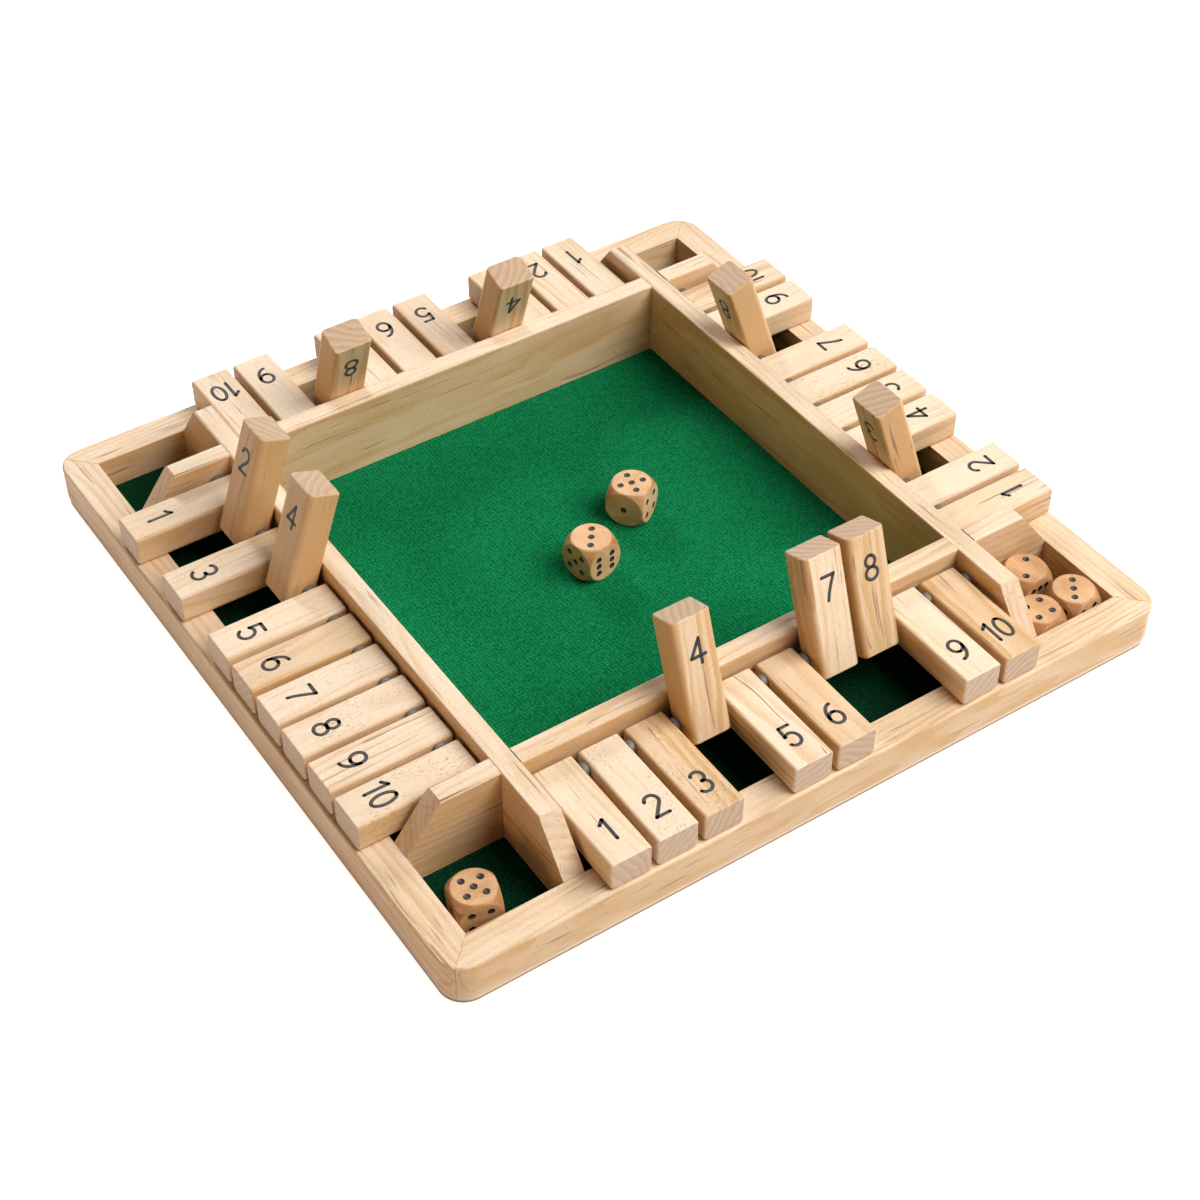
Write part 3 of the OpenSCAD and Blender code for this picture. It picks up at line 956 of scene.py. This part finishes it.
def die_block(look):
    """A cube rounded by a ball, with hollow painted pips, and how polished each point is."""
    steps = 44
    half, ball, soft, worn = DIE_SIZE * MM / 2, DIE_BALL * MM, 0.12 * MM, 0.5 * MM
    builder = bmesh.new()
    for face in range(6):
        facing = face_turn(face)
        grid = [[builder.verts.new(facing @ Vector((math.tan(math.pi / 4 * (2 * i / steps - 1)),
                                                  math.tan(math.pi / 4 * (2 * j / steps - 1)), 1)))
                 for j in range(steps + 1)] for i in range(steps + 1)]
        for i in range(steps):
            for j in range(steps):
                builder.faces.new((grid[i][j], grid[i + 1][j], grid[i + 1][j + 1], grid[i][j + 1]))
    for vert in builder.verts:
        way = vert.co.normalized()
        cube = half / max(abs(part) for part in way)
        # The nearer of cube and ball, blended over a short way
        blend = max(soft - abs(cube - ball), 0) / soft
        vert.co = way * (min(cube, ball) - blend * blend * soft / 4)
    bmesh.ops.remove_doubles(builder, verts=builder.verts, dist=0.001 * MM)
    bmesh.ops.recalc_face_normals(builder, faces=builder.faces)
    blank = link_object("die_blank", mesh_from(builder, "die_blank"))
    blank.data.materials.append(MATERIALS["Dice wood"])

    rim = look.pip_width / 2
    radius = (rim * rim + look.pip_depth ** 2) / (2 * look.pip_depth)
    above = half + radius - look.pip_depth
    spots = [face_turn(face) @ Vector((x * look.pip_pitch / 2, y * look.pip_pitch / 2, above))
             for face in range(6) for x, y in pip_spots(DIE_FACES[face])]
    points = bpy.data.meshes.new("pips")
    points.from_pydata(spots, [], [])
    balls = run_tree(link_object("pips", points), pip_tree(),
                     {"Ball Radius": radius, "Material": MATERIALS["Pip paint"]}, "pip_balls")
    balls = link_object("pip_balls", balls)
    cut = blank.modifiers.new("Pips", "BOOLEAN")
    cut.operation, cut.solver, cut.object = "DIFFERENCE", "EXACT", balls
    cut.material_mode = "TRANSFER"
    mesh = baked(blank, "die_block")
    discard(balls)
    shade(mesh, DIE_CREASE)
    layer = mesh.attributes.new("polish", "FLOAT", "POINT")
    for vert, item in zip(mesh.vertices, layer.data):
        flat = max(abs(part) for part in vert.co)
        item.value = min(max((half - flat) / worn, 0), 1)
    return mesh


class BOARD_OT_dice(BoardMaker, bpy.types.Operator):
    """Make the dice"""
    bl_idname = "flip_board.dice"
    bl_label = "Dice"

    def execute(self, context):
        block = die_block(context.scene.board_dice)
        draw = random.Random(59)
        for i, (tilt_x, tilt_y, yaw) in enumerate(DICE_TURNS):
            node = f"die_{i + 1}"
            low, high = (Vector(corner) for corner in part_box(node))
            place = (Matrix.Translation((low + high) / 2) @ turn(yaw, "Z") @ turn(tilt_y, "Y")
                     @ turn(tilt_x, "X"))
            mesh = block.copy()
            # The four dice in the pockets get a darker tone than the two in the tray
            set_grain(mesh, Matrix.Identity(4), draw, tone=draw.uniform(0.1, 0.35) if i > 1 else 0)
            mesh.transform(place)
            piece("wood_" + node, mesh, node, node, slot="wood_die")
        return {"FINISHED"}


# ---------------------------------------------------------------- stage, panel and run

def seen_rays(tree):
    """One for the rays that show the background: from the camera, a gloss or a glass."""
    rays = tree.nodes.new("ShaderNodeLightPath").outputs
    return maths(tree, "MAXIMUM", rays["Is Camera Ray"],
                 maths(tree, "MAXIMUM", rays["Is Glossy Ray"], rays["Is Transmission Ray"]))


class BOARD_OT_stage(BoardMaker, bpy.types.Operator):
    """Set up the floor, the light and the camera"""
    bl_idname = "flip_board.stage"
    bl_label = "Stage"

    def execute(self, context):
        look = context.scene.board_stage
        self.make_floor()
        self.make_world(context.scene)
        for lamp in LAMPS:
            self.make_lamp(*lamp)
        self.make_camera(context.scene, look)
        context.scene.view_settings.view_transform = "Standard"
        return {"FINISHED"}

    def make_floor(self):
        mesh = bpy.data.meshes.new("floor")
        corners = [(x * FLOOR_HALF, y * FLOOR_HALF, 0)
                   for x, y in ((-1, -1), (1, -1), (1, 1), (-1, 1))]
        mesh.from_pydata(corners, [], [(0, 1, 2, 3)])
        floor = link_object("floor", mesh)
        floor.location.z = -0.05 * MM
        material, tree, shader = new_material("Floor", Base_Color=(0.8, 0.8, 0.8), Roughness=0.9,
                                              Specular_IOR_Level=0.1)
        glow = add_node(tree, "ShaderNodeEmission",
                        {"Strength": product(tree, seen_rays(tree), FLOOR_GLOW)})
        both = add_node(tree, "ShaderNodeAddShader", {0: shader.outputs[0], 1: glow.outputs[0]})
        tree.links.new(both.outputs[0], tree.nodes["Material Output"].inputs["Surface"])
        mesh.materials.append(material)

    def make_world(self, scene):
        world = bpy.data.worlds.new("Studio")
        scene.world = world
        world.use_nodes = True
        tree = world.node_tree
        seen = seen_rays(tree)
        background = tree.nodes["Background"]
        tree.links.new(mix_colour(tree, seen, ROOM_TINT, (1, 1, 1)), background.inputs["Color"])
        strength = add_node(tree, "ShaderNodeMix", {0: seen, 2: ROOM_LIGHT, 3: 1.0})
        tree.links.new(strength.outputs[0], background.inputs["Strength"])

    def make_lamp(self, name, place, size, power, colour):
        lamp = bpy.data.lights.new(name, "AREA")
        lamp.shape, lamp.size, lamp.energy, lamp.color = "DISK", size, power, colour
        made = bpy.data.objects.new(name, lamp)
        bpy.context.scene.collection.objects.link(made)
        made.location = place
        made.rotation_euler = (-Vector(place)).to_track_quat("-Z", "Y").to_euler()

    def make_camera(self, scene, look):
        back = Vector((math.sin(look.azimuth) * math.cos(look.elevation),
                       -math.cos(look.azimuth) * math.cos(look.elevation),
                       math.sin(look.elevation)))
        right = Vector((0, 0, 1)).cross(back).normalized()
        up = back.cross(right)
        turned = (math.cos(look.roll) * right + math.sin(look.roll) * up,
                  math.cos(look.roll) * up - math.sin(look.roll) * right, back)
        camera = bpy.data.cameras.new("Camera")
        camera.sensor_width, camera.lens = 36, look.lens
        camera.clip_start, camera.clip_end = 0.01, 50
        made = bpy.data.objects.new("Camera", camera)
        scene.collection.objects.link(made)
        made.matrix_world = (Matrix.Translation(Vector(look.target) + back * look.distance)
                             @ Matrix(turned).transposed().to_4x4())
        scene.camera = made


GROUPS = (
    ("board_wood", WoodLook, "Wood"),
    ("board_tiles", TileLook, "Tiles"),
    ("board_dice", DiceLook, "Dice"),
    ("board_felt", FeltLook, "Felt"),
    ("board_pivots", PivotLook, "Washers"),
    ("board_stage", StageLook, "Stage"),
)
OPERATORS = (BOARD_OT_bottom_panel, BOARD_OT_rails, BOARD_OT_walls, BOARD_OT_felt,
             BOARD_OT_pivots, BOARD_OT_tiles, BOARD_OT_dice, BOARD_OT_stage)


class BOARD_PT_panel(bpy.types.Panel):
    """The board's sizes and colours, and a button for each group of pieces."""
    bl_idname = "BOARD_PT_panel"
    bl_label = "Flip Tile Board"
    bl_space_type = "VIEW_3D"
    bl_region_type = "UI"
    bl_category = "Flip Tiles"

    def draw(self, context):
        for name, group, label in GROUPS:
            box = self.layout.box()
            box.label(text=label)
            for key in group.__annotations__:
                box.prop(getattr(context.scene, name), key)
        for operator in OPERATORS:
            self.layout.operator(operator.bl_idname)


CLASSES = tuple(group for _, group, _ in GROUPS) + OPERATORS + (BOARD_PT_panel,)


def register():
    for item in CLASSES:
        bpy.utils.register_class(item)
    for name, group, _ in GROUPS:
        setattr(bpy.types.Scene, name, PointerProperty(type=group))


def unregister():
    for name, _, _ in GROUPS:
        delattr(bpy.types.Scene, name)
    for item in reversed(CLASSES):
        bpy.utils.unregister_class(item)


def main():
    register()
    make_materials(bpy.context.scene)
    for operator in OPERATORS:
        group, name = operator.bl_idname.split(".")
        getattr(getattr(bpy.ops, group), name)()


if __name__ == "__main__":
    main()
